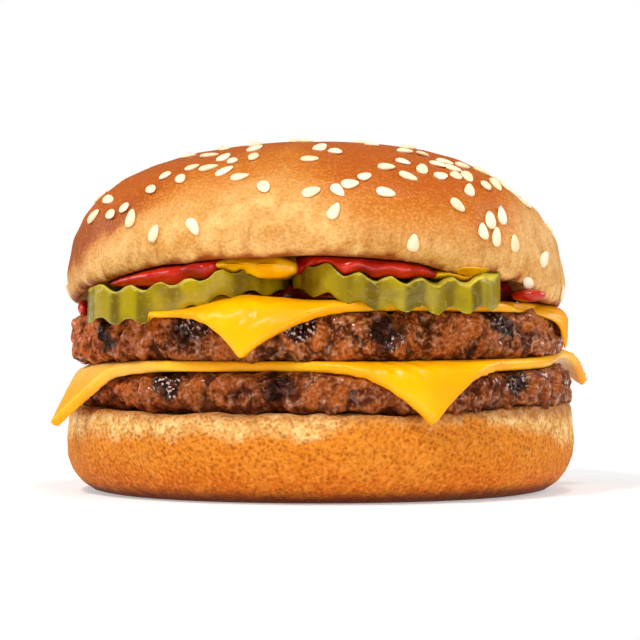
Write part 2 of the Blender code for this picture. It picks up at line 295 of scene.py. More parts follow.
class Finish:
    def __init__(self, name):
        self.material = bpy.data.materials.new(name)
        self.material.use_nodes = True
        self.tree = self.material.node_tree
        self.tree.nodes.clear()
        self.spot = self.node("ShaderNodeTexCoord", {}, {}, "Object")

    def node(self, kind, settings, sockets, output=0):
        made = self.tree.nodes.new(kind)
        for key, value in settings.items():
            setattr(made, key, value)
        for key, value in sockets.items():
            if isinstance(value, Wire):
                self.tree.links.new(value.socket, made.inputs[key])
            else:
                made.inputs[key].default_value = value
        return Wire(self, made.outputs[output]) if made.outputs else None

    def maths(self, operation, first, second, kind="ShaderNodeMath"):
        return self.node(kind, {"operation": operation}, {0: first, 1: second})

    def axes(self):
        # the place on the object as three numbers in mm
        parts = self.node("ShaderNodeSeparateXYZ", {}, {0: self.spot}).socket.node
        return [Wire(self, out) * 1000 for out in parts.outputs]

    def noise(self, size, detail=1, rough=0.45, where=None):
        return self.node("ShaderNodeTexNoise", {}, {
            "Vector": where or self.spot, "Scale": 1000 / size, "Detail": detail, "Roughness": rough})

    def cells(self, size, where):
        # distance to the nearest of scattered centres
        return self.node("ShaderNodeTexVoronoi", {}, {"Vector": where, "Scale": 1000 / size})

    def wandering(self, size, reach):
        # the place on the object, pushed about by noise
        push = self.node("ShaderNodeTexNoise", {}, {
            "Vector": self.spot, "Scale": 1000 / size, "Detail": 1.0}, "Color")
        push = self.maths("SUBTRACT", push, (0.5, 0.5, 0.5), "ShaderNodeVectorMath")
        push = self.maths("MULTIPLY", push, [reach * mm] * 3, "ShaderNodeVectorMath")
        return self.maths("ADD", self.spot, push, "ShaderNodeVectorMath")

    def stretched(self, *scales):
        # the place on the object with each axis scaled, for streaks
        return self.maths("MULTIPLY", self.spot, scales, "ShaderNodeVectorMath")

    def step(self, value, start, end):
        # 0 at the start and 1 at the end, soft between
        return self.node("ShaderNodeMapRange", {"interpolation_type": "SMOOTHSTEP"}, {
            "Value": value, "From Min": start, "From Max": end})

    def mix(self, share, first, second):
        return self.node("ShaderNodeMix", {"data_type": "RGBA"}, {0: share, 6: first, 7: second}, 2)

    def layered(self, colour, *layers):
        # the share and colour of each layer, laid over those before it
        for share, paint in layers:
            colour = self.mix(share, colour, paint)
        return colour

    def ramp(self, value, levels):
        # a number that follows pairs of position and level
        made = self.node("ShaderNodeValToRGB", {}, {0: value})
        stops = made.socket.node.color_ramp.elements
        while len(stops) < len(levels):
            stops.new(1)
        for stop, (position, level) in zip(stops, levels):
            stop.position = position
            stop.color = grey(level)
        return made

    def stored(self, name):
        return self.node("ShaderNodeAttribute", {"attribute_name": name}, {}, "Fac")

    def relief(self, *layers):
        # bumps over bumps, each a height and its reach in mm
        under = None
        for height, reach in layers:
            sockets = {"Height": height, "Strength": 1.0, "Distance": reach * mm}
            if under:
                sockets["Normal"] = under
            under = self.node("ShaderNodeBump", {}, sockets)
        return under

    def surface(self, colour, relief, rough, specular, below, coat=(0, 0.03), tint=grey(1)):
        # below is the weight, radius and scale of the light under the skin, coat a weight and a roughness
        shader = self.node("ShaderNodeBsdfPrincipled", {}, {
            "Base Color": colour, "Normal": relief, "Roughness": rough,
            "Specular IOR Level": specular, "Specular Tint": tint,
            "Coat Weight": coat[0], "Coat Roughness": coat[1],
            "Subsurface Weight": below[0], "Subsurface Radius": below[1], "Subsurface Scale": below[2]})
        self.node("ShaderNodeOutputMaterial", {}, {"Surface": shader})
        return self.material


studio = {
    "cameraBack": 450, "cameraHeight": 28, "lookAt": 32.95, "lens": 129.8, "sensor": 36,
    "ambient": 0.2, "floorGlow": 0.38, "floorPaint": 0.68, "shadeReach": 75, "whiteFrom": 150, "floorHalf": 3,
    # place and size in metres, power and tint of each softbox
    "lights": {
        "keyLight": ((-0.20, -0.32, 0.46), (0.10, 0.08), 2.05, (1, 0.985, 0.96)),
        "topLight": ((0.06, -0.12, 0.55), (0.12, 0.08), 0.9, (1, 0.99, 0.97)),
        "rimRight": ((0.46, 0.14, 0.24), (0.25, 0.25), 1.1, (1, 0.99, 0.98)),
        "rimLeft": ((-0.46, 0.10, 0.20), (0.25, 0.25), 0.77, (1, 0.99, 0.98)),
        "fillLight": ((0.30, -0.50, 0.16), (0.30, 0.24), 0.8, (1, 1, 1)),
        "lowLight": ((-0.05, -0.55, 0.02), (0.60, 0.06), 0.75, (1, 1, 1)),
    },
    "lightsAim": (0, 0, 0.035),
}


def setUpStudio():
    scene = bpy.context.scene
    scene.view_settings.view_transform = "Standard"
    scene.view_settings.look = "None"
    camera = bpy.data.objects.new("camera", bpy.data.cameras.new("camera"))
    scene.collection.objects.link(camera)
    camera.location = (0, -studio["cameraBack"] * mm, studio["cameraHeight"] * mm)
    target = Vector((0, 0, studio["lookAt"] * mm))
    camera.rotation_euler = (target - camera.location).to_track_quat("-Z", "Y").to_euler()
    camera.data.lens = studio["lens"]
    camera.data.sensor_width = studio["sensor"]
    camera.data.clip_start = 0.01
    scene.camera = camera

    for name, (spot, size, power, tint) in studio["lights"].items():
        light = bpy.data.lights.new(name, "AREA")
        light.shape = "RECTANGLE"
        light.size, light.size_y = size
        light.energy = power
        light.color = tint
        obj = bpy.data.objects.new(name, light)
        scene.collection.objects.link(obj)
        obj.location = spot
        obj.rotation_euler = (Vector(studio["lightsAim"]) - obj.location).to_track_quat("-Z", "Y").to_euler()

    world = bpy.data.worlds.new("studio")
    scene.world = world
    world.use_nodes = True
    nodes = world.node_tree.nodes
    sky = nodes["Background"]
    sky.inputs["Color"].default_value = grey(1)
    seen = nodes.new("ShaderNodeLightPath")
    level = nodes.new("ShaderNodeMapRange")
    level.inputs["To Min"].default_value = studio["ambient"]
    world.node_tree.links.new(seen.outputs["Is Camera Ray"], level.inputs["Value"])
    world.node_tree.links.new(level.outputs[0], sky.inputs["Strength"])

    half = studio["floorHalf"]
    corners = [(-half, -half, 0), (half, -half, 0), (half, half, 0), (-half, half, 0)]
    floor = addMesh("floor", corners, [(0, 1, 2, 3)])
    paint = Finish("paleFloor")
    distance = paint.node("ShaderNodeVectorMath", {"operation": "LENGTH"}, {0: paint.spot}, "Value") * 1000
    matt = paint.node("ShaderNodeBsdfPrincipled", {}, {
        "Base Color": grey(studio["floorPaint"]), "Roughness": 0.9, "Specular IOR Level": 0.1,
        "Emission Color": grey(1), "Emission Strength": studio["floorGlow"]})
    glow = paint.node("ShaderNodeEmission", {}, {"Color": grey(1), "Strength": 1.0})
    share = paint.step(distance, studio["shadeReach"], studio["whiteFrom"])
    both = paint.node("ShaderNodeMixShader", {}, {0: share, 1: matt, 2: glow})
    paint.node("ShaderNodeOutputMaterial", {}, {"Surface": both})
    floor.data.materials.append(paint.material)


setUpStudio()
print("studio ready")


pickle = {
    "grain": 0.38, "softening": 6, "uneven": 0.16, "unevenSize": 4, "sink": 0.22, "deepest": 2.2,
    # how much thicker than the solid, how much higher and how far the outer edge hangs,
    # then azimuth, half width and height of the stretches of the edge that stand up
    "left": (1.1, -0.1, 0.1, [(-147, 27, 1.5), (-99, 7, 1.5)]),
    "right": (1.2, 0.3, 1.0, [(-93, 7, 0.4), (-43, 8, 1.2)]),
}


def slicePickle(name, node, swell, rise, hang, lips, seed):
    obj = evenSkin(name, node, pickle)
    points, normals = readPoints(obj)
    x, y, z = points.T
    terms = np.stack([np.ones_like(x), x, y, x * x, x * y, y * y], axis=1)
    middle = terms @ np.linalg.lstsq(terms, z, rcond=None)[0]
    lift = wobble(points, pickle, "uneven", seed)
    moved = points + normals * lift[:, None]
    offset = (moved[:, 2] - middle) * swell
    # the upper face sinks away from the edge, which stands up here and there
    reach = reachOf(points)
    across = np.linalg.norm(points[:, :2] - points[:, :2].mean(axis=0), axis=1)
    inward = np.maximum(across.max() - 1.5 - across, 0)
    upper = ease(offset / 5 + 0.5)
    offset -= np.minimum(pickle["sink"] * inward, pickle["deepest"]) * upper
    for angle, wide, high in lips:
        lip = high * ease((wide - np.abs(turned(azimuthOf(points), angle))) / 5 + 0.5)
        offset += lip * upper * ease((4 - inward) / 3) * ease((reach - 36) / 7)
    moved[:, 2] = middle + offset + rise - hang * ease((reach - 38) / 11)
    writePoints(obj, heldBack(points, moved, treeOf(solids["crown"])))
    store(obj, "rind", ease((0.9 - np.abs(normals[:, 2])) * 5))
    # a painted highlight along the upper rim of each chip
    store(obj, "edge", hump(np.abs(normals[:, 2]), 0.8, 0.16) * (normals[:, 2] > 0))
    return obj


def pickleFinish():
    chip = Finish("pickledCucumber")
    wide = chip.noise(7)
    # the upright light and dark bands on the rind are painted light and shade of its crinkles
    bands = chip.noise(4.2, 1, 0.5, chip.stretched(1, 1, 0.12))
    fine = chip.noise(0.8)
    colour = chip.mix(chip.step(wide, 0.35, 0.65), shade(176, 164, 20), shade(206, 192, 60))
    skin = chip.mix(chip.step(bands, 0.34, 0.62), shade(106, 88, 4), shade(162, 140, 6))
    skin = chip.mix(chip.step(wide, 0.5, 0.34) * 0.5, skin, shade(100, 74, 8))
    colour = chip.layered(
        colour,
        (chip.stored("rind"), skin),
        # painted highlight along the upper rim
        (chip.stored("edge") * 0.45, shade(206, 192, 84)),
        (chip.step(fine, 0.55, 0.75) * 0.2, shade(196, 176, 60)))
    relief = chip.relief((chip.noise(2.4, 0), 0.3), (fine, 0.08))
    return chip.surface(colour, relief, rough=0.26, specular=0.15,
                        below=(0.12, (0.8, 0.8, 0.1), 0.001), coat=(0.05, 0.05))


pickleSkin = pickleFinish()
leftChip = slicePickle("pickleLeftChip", "pickle_left", *pickle["left"], 400)
place(leftChip, pickleSkin, "pickle", "pickle_left")
rightChip = slicePickle("pickleRightChip", "pickle_right", *pickle["right"], 410)
place(rightChip, pickleSkin, "pickle", "pickle_right")
chipTree = treeOf(leftChip, rightChip)
print("pickles done:", len(leftChip.data.polygons), len(rightChip.data.polygons), "faces")


crownBread = {
    "grain": 0.6, "softening": 5,
    "uneven": 0.45, "unevenSize": 22, "ripple": 0.16, "rippleSize": 6,
    "wrinkle": 0.20, "seedDent": 0.28, "dentReach": 1.9,
    # azimuth, half width and depth of the places where the rim droops
    "droops": [(-155, 13, 1.8), (-50, 14, 4.0), (-37, 10, 2.2), (-12, 15, 1.3)],
    "backDroop": 2.3, "cheek": 0.4,
    # share of a turn from the left round the front, and lowest height of the brown top over 100 mm
    "brownLine": [(0, 0.42), (0.04, 0.425), (0.07, 0.435), (0.11, 0.485), (0.15, 0.545), (0.20, 0.57),
                  (0.225, 0.585), (0.24, 0.56), (0.27, 0.515), (0.30, 0.49), (0.34, 0.47), (0.37, 0.48),
                  (0.41, 0.54), (0.47, 0.57), (0.55, 0.53), (0.65, 0.49), (0.80, 0.54), (1, 0.42)],
}
seeds = {
    "long": 3.5, "wide": 2.35, "thick": 1.05, "sink": 0.2, "gap": 2.8,
    # azimuth, height, spread and number of each handful
    "handfuls": [(-120, 61, 6, 15), (-48, 60.5, 5, 11), (-32, 56, 4, 3)],
    # azimuth and height of single ones down the sides
    "single": [(-152, 52), (-144, 52), (-150, 55), (-140, 53), (-139, 55), (-136, 51), (-160, 56),
               (-110, 58), (-103, 56), (-93, 61.5), (-92, 55), (-87, 51.5), (-86, 55.2), (-83, 56.5),
               (-79, 58), (-75, 55), (-72, 60), (-52, 56), (-58, 53), (-52, 48.5), (-49, 50.5),
               (-48, 47.5), (-45, 51.5), (-42, 46.5), (-70, 46), (-128, 48), (-118, 49), (-29, 44),
               (-38, 40), (-34.5, 39.5), (-14, 38), (-178, 38.5), (-12, 50), (0, 44), (40, 50), (62, 54),
               (75, 47), (110, 52), (132, 55), (150, 46)],
    "onTop": 72, "topReach": 42, "mostTries": 4000, "rings": 9, "sides": 12,
}


def seedSpots(tree):
    dice = random.Random(7)
    wanted = [(angle, height, False) for angle, height in seeds["single"]]
    for angle, height, spread, count in seeds["handfuls"]:
        for turn in range(count):
            wanted.append((angle + dice.gauss(0, spread * 1.4), height + dice.gauss(0, spread * 0.45), True))
    spots = []

    def tryAt(start, aim, close):
        hit, normal, index, distance = tree.ray_cast(start, aim)
        if hit is None or normal.z < -0.6:
            return False
        if any((hit - other).length < close for other, otherNormal in spots):
            return False
        spots.append((hit, normal))
        return True

    for angle, height, loose in wanted:
        out = Vector((*heading(angle), 0))
        start = out * 90 * mm + Vector((0, 0, height * mm))
        tryAt(start, -out, seeds["gap"] * mm * (0.8 if loose else 1))
    tries = onTop = 0
    while onTop < seeds["onTop"] and tries < seeds["mostTries"]:
        tries += 1
        angle = dice.uniform(0, 2 * math.pi)
        reach = seeds["topReach"] * math.sqrt(dice.random()) * mm
        start = Vector((math.cos(angle) * reach, math.sin(angle) * reach, 0.12))
        if tryAt(start, Vector((0, 0, -1)), seeds["gap"] * mm):
            onTop += 1
    return spots


def aboveRim(points):
    # height of each point above the lowest edge of the crown at its azimuth
    sector = np.round(azimuthOf(points) / 3).astype(int) % 120
    outer = reachOf(points) > 42
    lowest = np.full(120, 99.0)
    np.minimum.at(lowest, sector[outer], points[outer, 2])
    return points[:, 2] - lowest[sector]


def bakeCrown():
    note = crownBread
    obj = evenSkin("crownBread", "crown", note)
    points, normals = readPoints(obj)
    outside = ease((normals[:, 2] + 0.75) * 2)
    lift = wobble(points, note, "uneven", 31)
    lift += wobble(points, note, "ripple", 32)
    lowSide = ease((50 - points[:, 2]) / 8)
    squeezed = points * (1, 1, 0.35)
    lift += note["wrinkle"] * lowSide * cloud(squeezed, 2.2, 33)
    high = ease((67.2 - points[:, 2]) / 4)
    points = points + normals * (lift * (0.25 + 0.75 * outside) * (0.3 + 0.7 * high))[:, None]
    # the rim droops here and there, down to what lies under it
    drooped = points.copy()
    reach = reachOf(points)
    # and its cheek stands out, almost upright
    cheek = hump(aboveRim(points), 3.5, 3.5) * ease((reach - 42) / 4) * ease((49.4 - reach) / 1.5)
    drooped[:, :2] *= (1 + note["cheek"] * cheek / reach)[:, None]
    for angle, wide, deep in note["droops"]:
        drop = deep * around(points, angle, wide)
        drooped[:, 2] -= drop * ease((reach - 33) / 9) * ease((52 - points[:, 2]) / 12)
    behind = ease((72 - np.abs(turned(azimuthOf(points), 92))) / 20)
    drooped[:, 2] -= note["backDroop"] * behind * ease((reach - 38) / 7) * ease((48 - points[:, 2]) / 9)
    under = treeOf(leftChip, rightChip, solids["upper_cheese"])
    points = heldBack(points, drooped, under)
    writePoints(obj, points)

    spots = seedSpots(treeOf(obj))
    dent = np.zeros(len(points))
    for spot, normal in spots:
        away = np.linalg.norm(points - np.array(spot) / mm, axis=1)
        dent = np.maximum(dent, hump(away, 0, note["dentReach"]))
    points, normals = readPoints(obj)
    writePoints(obj, points - normals * (dent * note["seedDent"])[:, None])
    store(obj, "dent", dent)
    return obj, spots


def crownFinish():
    crust = Finish("crownCrust")
    x, y, z = crust.axes()
    angle = crust.maths("ARCTAN2", y, x) / (2 * math.pi) + 0.5
    wide = crust.noise(11, 2)
    middle = crust.noise(3.6, 2)
    fine = crust.noise(1.2)
    speck = crust.noise(0.5, 0)
    streaks = crust.noise(2.2, 2, 0.5, crust.stretched(1, 1, 0.16))
    brownLine = crust.ramp(angle, crownBread["brownLine"]) * 100
    above = z - brownLine + (wide - 0.5) * 7 + (middle - 0.5) * 4
    left = crust.step(angle, 0.0, 0.03) * crust.step(angle, 0.16, 0.10)
    brown = crust.step(above, -5.5 + 2.5 * left, 4.5 - 2.5 * left)
    deep = crust.step(above + 3 * left, 1.0, 10.0)
    gap = crust.stored("rimGap")
    low = crust.step(gap, 11.0, 2.0)
    rim = crust.step(gap + (middle - 0.5) * 2.4, 1.3, 0.0)
    scorch = left * crust.step(above, -0.5, 2.0) * crust.step(above, 9.0, 4.5)
    colour = crust.layered(
        crust.mix(crust.step(middle, 0.3, 0.7), shade(208, 148, 74), shade(234, 184, 112)),
        (brown, shade(193, 109, 22)),
        (deep * 0.85, shade(172, 74, 4)),
        (scorch * 0.85, shade(150, 62, 2)),
        (crust.step(streaks, 0.50, 0.64) * low * 0.5, shade(180, 112, 48)),
        (crust.step(fine, 0.50, 0.70) * 0.2, shade(176, 104, 36)),
        (crust.step(speck, 0.50, 0.72) * (0.2 - 0.1 * deep), shade(244, 190, 110)),
        (crust.step(speck, 0.48, 0.30) * 0.22, shade(158, 84, 22)),
        (rim * 0.85, shade(140, 54, 10)))
    relief = crust.relief((streaks * low, 0.5), (fine, 0.2), (speck, 0.16))
    return crust.surface(colour, relief, rough=0.48, specular=0.12,
                         below=(0.10, (1.0, 0.5, 0.25), 0.001), coat=(brown * 0.05, 0.25))


crown, spots = bakeCrown()
store(crown, "rimGap", aboveRim(readPoints(crown)[0]))
place(crown, crownFinish(), "crown_bread", "crown")
print("crown done:", len(crown.data.polygons), "faces")


def seedShape(dice):
    # a flat drop lying along x, blunt behind and pointed in front
    rings, sides = seeds["rings"], seeds["sides"]
    size = dice.uniform(0.9, 1.08)
    long = seeds["long"] * size
    wide = seeds["wide"] * dice.uniform(0.88, 1.1)
    thick = seeds["thick"] * dice.uniform(0.85, 1.15)
    point = dice.uniform(0.12, 0.36)
    bend = dice.uniform(-0.12, 0.12)
    points = [(-long / 2, 0, 0)]
    for ring in range(1, rings):
        turn = math.pi * ring / rings
        along = -math.cos(turn)
        girth = math.sin(turn) ** 0.9 * (1 - point * (along + 0.2))
        for part in range(sides):
            side = 2 * math.pi * part / sides
            points.append((along * long / 2, girth * wide / 2 * math.cos(side) + bend * along ** 2,
                           girth * thick / 2 * math.sin(side)))
    points.append((long / 2, bend, 0))
    faces = [(0, 1 + (part + 1) % sides, 1 + part) for part in range(sides)]
    for ring in range(rings - 2):
        for part in range(sides):
            first = 1 + ring * sides + part
            second = 1 + ring * sides + (part + 1) % sides
            faces.append((first, second, second + sides, first + sides))
    last = len(points) - 1
    faces += [(last, last - sides + part, last - sides + (part + 1) % sides) for part in range(sides)]
    return points, faces


def scatterSeeds(spots):
    dice = random.Random(19)
    points, faces, tones = [], [], []
    for spot, normal in spots:
        shape, shapeFaces = seedShape(dice)
        low = normal.z < 0.75
        turn = dice.gauss(math.pi / 2, 0.4) if normal.z < 0.3 else dice.gauss(0, 0.8)
        east = Vector((0, 0, 1)).cross(normal) if low else Vector((1, 0, 0)) - normal * normal.x
        east = east.normalized()
        north = normal.cross(east)
        ahead = east * math.cos(turn) + north * math.sin(turn)
        ahead = (ahead + normal * dice.gauss(0, 0.10)).normalized()
        across = normal.cross(ahead).normalized()
        above = ahead.cross(across)
        centre = spot + normal * (seeds["thick"] / 2 - seeds["sink"] - crownBread["seedDent"]) * mm
        start = len(points)
        for point in shape:
            points.append(centre + (ahead * point[0] + across * point[1] + above * point[2]) * mm)
        faces += [tuple(index + start for index in face) for face in shapeFaces]
        tones += [dice.random()] * len(shape)
    obj = addMesh("sesameSeeds", points, faces)
    obj.data.shade_smooth()
    store(obj, "tone", np.array(tones))
    return obj


def seedFinish():
    hull = Finish("sesameHull")
    tone = hull.stored("tone")
    colour = hull.mix(tone, shade(240, 216, 172), shade(250, 234, 204))
    colour = hull.mix(hull.step(hull.noise(1.4), 0.5, 0.75) * 0.3, colour, shade(228, 188, 130))
    relief = hull.relief((hull.noise(0.8, 0), 0.08))
    return hull.surface(colour, relief, rough=0.38, specular=0.4, below=(0.2, (1.0, 0.8, 0.5), 0.0008))


sesame = scatterSeeds(spots)
place(sesame, seedFinish(), "crown_bread")
print("seeds done:", len(spots), "seeds,", len(sesame.data.polygons), "faces")


cheese = {
    "grain": 0.5, "softening": 10, "room": 0.12,
    "ripple": 0.12, "rippleSize": 10, "dimple": 0.02, "dimpleSize": 3,
    # how far the corners of the slices are pulled on past the solids
    "frontLean": 3.4, "frontWiden": 1.6, "tuck": 0.8, "pinch": 0.6, "swing": 2.5, "droop": 1.8,
    # azimuth, half width and reach of the melted edges between the corners
    "lowerEdges": [(-118, 22, 4.5), (-30, 25, 5)], "upperEdges": [(-121.5, 12, 10), (-58, 18, 4.5)],
    # azimuth, half width and depth where a melted edge hangs over the meat
    "sag": (-122, 13, 1.2), "rightRise": 0.9,
    # azimuth, half width and height of the swellings under the left chip
    "swellings": [(-124, 5, 0.9), (-115, 4, 1.1), (-108, 5, 1.0), (-100, 5, 0.5)],
    # azimuth, start, height and slope of a fold, how much steeper it gets and the stretch beyond it
    "leftFold": (-155, 46.5, 23.5, 37, 12, 1.45), "rightFold": (17, 46, 25.3, 40, -14, 1.27),
}


def meltSlice(name, node, seed):
    obj = evenSkin(name, node, cheese)
    points, normals = readPoints(obj)
    lift = wobble(points, cheese, "ripple", seed)
    lift += wobble(points, cheese, "dimple", seed + 1)
    writePoints(obj, points + normals * lift[:, None])
    return obj


def foldCorner(points, angle, start, height, slope, steeper, stretch):
    # a hanging corner, turned about its fold and drawn out along its own slope
    out = np.array(heading(angle))
    forward = points[:, :2] @ out - start
    above = points[:, 2] - height
    slope = math.radians(slope)
    along = forward * math.cos(slope) - above * math.sin(slope)
    across = forward * math.sin(slope) + above * math.cos(slope)
    share = ease(along / 3)
    longer = along * (1 + (stretch - 1) * share)
    turn = slope + math.radians(steeper) * share
    moved = longer * np.cos(turn) + across * np.sin(turn) - forward
    points[:, :2] += moved[:, None] * out
    points[:, 2] = height - longer * np.sin(turn) + across * np.cos(turn)


def meltOut(points, edges):
    # the edges between the corners flow outwards
    for angle, wide, far in edges:
        reach = reachOf(points)
        flow = far * around(points, angle, wide) * ease((reach - 22) / 14)
        points[:, :2] *= (1 + flow / np.maximum(reach, 1))[:, None]


def shapeLower(obj):
    points = readPoints(obj)[0]
    meltOut(points, cheese["lowerEdges"])
    # the right end lifts off the meat a little before it folds over
    moved = points.copy()
    reach = reachOf(points)
    moved[:, 2] += cheese["rightRise"] * around(points, 5, 40) * ease((reach - 40) / 6)
    points = heldBack(points, moved, treeOf(solids["upper_patty"]), 0.2)
    bearing = azimuthOf(points)
    reach = reachOf(points)
    # pale patches painted on the folded corners: light showing through the thin cheese, and on the right
    # corner a painted highlight
    store(obj, "pale", hump(turned(bearing, -155), 0, 24) * hump(reach, 46.5, 2.5)
          + 0.4 * hump(turned(bearing, 12), 0, 20) * hump(reach, 46.5, 3))
    foldCorner(points, *cheese["leftFold"])
    foldCorner(points, *cheese["rightFold"])
    writePoints(obj, points)


def shapeUpper(obj):
    points, normals = readPoints(obj)
    x, y, z = points.T
    meltOut(points, cheese["upperEdges"])
    bearing = azimuthOf(points)
    front = hump(turned(bearing, -101), 0, 32) * ease((35.6 - z) / 9)
    x -= cheese["frontLean"] * front
    # the left edge of the front corner runs straight down to its tip
    reach = reachOf(points)
    leftSide = ease((-12 - x) / 5) * ease((reach - 34) / 6) * (y < 0)
    x -= cheese["frontWiden"] * leftSide * ease((z - 27.5) / 6)
    # the edge in front of the right corner is tucked up
    tuck = cheese["tuck"] * hump(turned(bearing, -30), 0, 9) * ease((reach - 43) / 2)
    points[:, :2] *= (1 - tuck * (reach - 43) / reach)[:, None]
    z += tuck * (34.4 - z)
    # the right corner hangs close to the meat and turns away to the back
    hanging = hump(turned(bearing, -20), 0, 26) * ease((34.5 - z) / 3) * ease((reach - 40) / 4)
    x += cheese["pinch"] * hanging * np.maximum(47.2 - x, 0)
    y += cheese["swing"] * hanging
    z -= cheese["droop"] * hanging * ease((33 - z) / 3)
    # the melted left edge hangs over the meat
    reach = reachOf(points)
    angle, wide, deep = cheese["sag"]
    hang = hump(turned(bearing, angle), 0, wide) * ease((reach - 41) / 4)
    z -= hang * (deep + 0.9 * ease(normals[:, 2] + 0.5))
    # melted swellings under the left chip
    for angle, wide, high in cheese["swellings"]:
        swell = hump(turned(bearing, angle), 0, wide) * hump(reach, 43.5, 4.5) * ease(normals[:, 2] * 2)
        z += high * swell
    # the slice stays under the chips
    for chip in (leftChip, rightChip):
        keepUnder(points, (z > 32.5) & (y < 0), treeOf(chip), 20, cheese["room"])
    writePoints(obj, points)


def cheeseFinish():
    melt = Finish("meltedCheese")
    wide = melt.noise(11)
    colour = melt.mix(melt.step(wide, 0.35, 0.7), shade(244, 160, 0), shade(248, 180, 0))
    # painted light: paler where the folded corners are thin, with a highlight on the right one
    colour = melt.mix(melt.stored("pale") * 0.6, colour, shade(252, 220, 130))
    relief = melt.relief((melt.noise(4, 0), 0.04), (melt.noise(0.8, 0), 0.012))
    return melt.surface(colour, relief, rough=0.28, specular=0.18,
                        below=(0.25, (1.0, 0.55, 0.12), 0.0018), coat=(0.02, 0.1))


cheeseSkin = cheeseFinish()
lowerSlice = meltSlice("lowerSlice", "lower_cheese", 300)
shapeLower(lowerSlice)
place(lowerSlice, cheeseSkin, "cheese", "lower_cheese")
upperSlice = meltSlice("upperSlice", "upper_cheese", 320)
shapeUpper(upperSlice)
place(upperSlice, cheeseSkin, "cheese", "upper_cheese")
print("cheese done:", len(lowerSlice.data.polygons), len(upperSlice.data.polygons), "faces")


heelBread = {
    "grain": 0.5, "softening": 5, "kept": 0.7,
    "uneven": 0.35, "unevenSize": 17, "ripple": 0.14, "rippleSize": 5,
    "poreSize": 0.85, "poreDepth": 0.10,
    "height": 16.5, "puff": 0.8, "dip": 1.1,
    # share of a turn from the left round the front, and depth of the pale band at the top over 10 mm
    # the band is real crumb, but it runs deeper at the right as painted light on that side
    "bandDepth": [(0, 0.50), (0.10, 0.48), (0.17, 0.38), (0.20, 0.46), (0.235, 0.38), (0.26, 0.22),
                  (0.34, 0.18), (0.40, 0.36), (0.44, 0.62), (0.50, 0.66), (0.70, 0.4), (1, 0.50)],
}


def bakeHeel():
    note = heelBread
    obj = evenSkin("heelBread", "heel", note)
    points, normals = readPoints(obj)
    side = ease((1 - np.abs(normals[:, 2])) * 3)
    lift = wobble(points, note, "uneven", 11)
    lift += wobble(points, note, "ripple", 12)
    near = crumbs(warped(points, 2.5, 0.5, 13), note["poreSize"], 16)[0]
    lift += side * note["poreDepth"] * (near - 0.6)
    low = ease(points[:, 2] / 2.0)
    points = points + normals * (lift * (0.15 + 0.85 * side) * low)[:, None]
    points[:, 2] = np.maximum(points[:, 2], 0)
    # the soft rim puffs up at the right, against the meat
    reach = reachOf(points)
    rim = ease((reach - 38) / 5) * ease((points[:, 2] - 10) / 5) * around(points, -15, 35)
    puffed = points.copy()
    puffed[:, 2] += note["puff"] * rim
    # and gives way a little at the front
    front = ease((reach - 32) / 10) * ease((points[:, 2] - 11) / 4) * around(points, -98, 48)
    puffed[:, 2] -= note["dip"] * front * (0.7 + 0.6 * cloud(points, 7, 18) + 0.5 * cloud(points, 3, 19))
    points = heldBack(points, puffed, treeOf(solids["lower_patty"]))
    writePoints(obj, points)
    thinned(obj, note["kept"])

    crust = Finish("heelCrust")
    x, y, z = crust.axes()
    angle = crust.maths("ARCTAN2", y, x) / (2 * math.pi) + 0.5
    wide = crust.noise(9, 2)
    fine = crust.noise(2.2, 2)
    pores = crust.cells(note["poreSize"], crust.wandering(1.6, 0.9))
    speck = crust.noise(0.6, 0)
    # the pale band, deeper at the right as painted light
    bandDepth = crust.ramp(angle, note["bandDepth"]) * 10
    depth = note["height"] - z
    uneven = (wide - 0.5) * 6 + (fine - 0.5) * 2.4
    cream = 1 - crust.step(depth + uneven, bandDepth - 1.2, bandDepth + 1.8)
    low = crust.step(z + (wide - 0.5) * 5, 9.0, 2.5)
    foot = crust.step(z + (fine - 0.5) * 1.6, 3.4, 0.6)
    # the top of the heel under the patty is darker: partly juice soaked in, partly painted shade from the
    # patty
    soaked = crust.step(depth + (fine - 0.5) * 2.5, 2.6, 0.6)
    # pores painted darker, as shade in them, and the ridges between painted lighter, as light on them
    pit = crust.step(pores + (speck - 0.5) * 0.5, 0.42, 0.05)
    ridge = crust.step(pores + (speck - 0.5) * 0.8, 0.5, 0.95)
    torn = crust.noise(2.6, 1)
    ragged = torn + (speck - 0.5) * 0.4
    colour = crust.layered(
        crust.mix(low, shade(214, 124, 27), shade(204, 104, 17)),
        (crust.step(wide, 0.35, 0.7) * 0.4, shade(216, 136, 42)),
        (cream, shade(234, 176, 98)),
        # painted shade in the pores, painted light on the ridges
        (pit * (0.55 - 0.25 * cream), shade(140, 54, 6)),
        (ridge * 0.55, crust.mix(cream, shade(236, 150, 60), shade(246, 204, 138))),
        (crust.step(speck, 0.46, 0.28) * 0.35, shade(160, 72, 12)),
        (foot * 0.9, shade(86, 26, 6)),
        (crust.step(ragged, 0.52, 0.66) * cream * 0.6, shade(250, 214, 150)),
        (crust.step(ragged, 0.48, 0.36) * cream * 0.5, shade(186, 122, 52)),
        # partly juice, partly painted shade under the patty
        (soaked * 0.65, shade(154, 80, 28)))
    relief = crust.relief((torn * cream, 0.7), (pores + speck * 0.4, 0.45))
    material = crust.surface(colour, relief, rough=0.6, specular=0.08, below=(0.10, (1.0, 0.5, 0.25), 0.001))
    place(obj, material, "heel_bread", "heel")
    return obj


heel = bakeHeel()
print("heel done:", len(heel.data.polygons), "faces")


